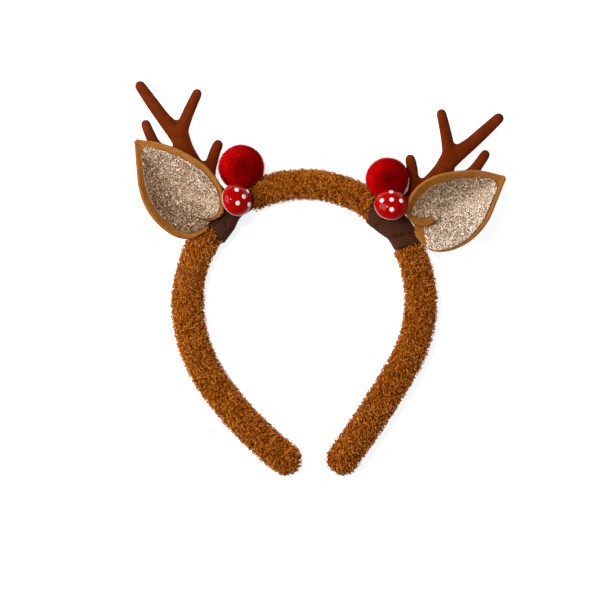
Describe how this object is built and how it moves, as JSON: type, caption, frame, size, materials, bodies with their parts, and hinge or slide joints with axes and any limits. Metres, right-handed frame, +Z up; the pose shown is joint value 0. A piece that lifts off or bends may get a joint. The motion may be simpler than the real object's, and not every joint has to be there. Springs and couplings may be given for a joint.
{
  "type": "reindeer antler headband",
  "caption": "Padded plush headband that carries flocked reindeer antlers, glitter-lined felt ears, pompoms and small toadstools, lying flat.",
  "frame": {"origin": "on the plush's pressed underside, under the middle of the band's centreline at the crown", "axes": "+X to the right as seen from above, +Y from the head's centre towards the crown and the antlers, +Z up from the surface that it lies on"},
  "size_m": [0.2218, 0.2355, 0.0376],
  "materials": {
    "plush": "ginger-brown curly plush with a short looped pile",
    "ribbon": "dark brown grosgrain ribbon with fine ribs",
    "flock": "reddish-brown flocking, velvety and matt",
    "felt": "tan pressed felt",
    "glitter": "champagne glitter cloth with fine sparkling grains",
    "pile": "deep red velvety pile",
    "lacquer": "glossy red lacquer with raised white spots",
    "stalk": "matt off-white"
  },
  "bodies": {
    "root": {"plush_band": "plush", "ribbon_wrap_left": "ribbon", "antler_left": "flock", "ear_felt_left": "felt", "ear_glitter_left": "glitter", "pompom_left": "pile", "toadstool_cap_left": "lacquer", "toadstool_stem_left": "stalk", "ribbon_wrap_right": "ribbon", "antler_right": "flock", "ear_felt_right": "felt", "ear_glitter_right": "glitter", "pompom_right": "pile", "toadstool_cap_right": "lacquer", "toadstool_stem_right": "stalk"}
  },
  "joints": []
}
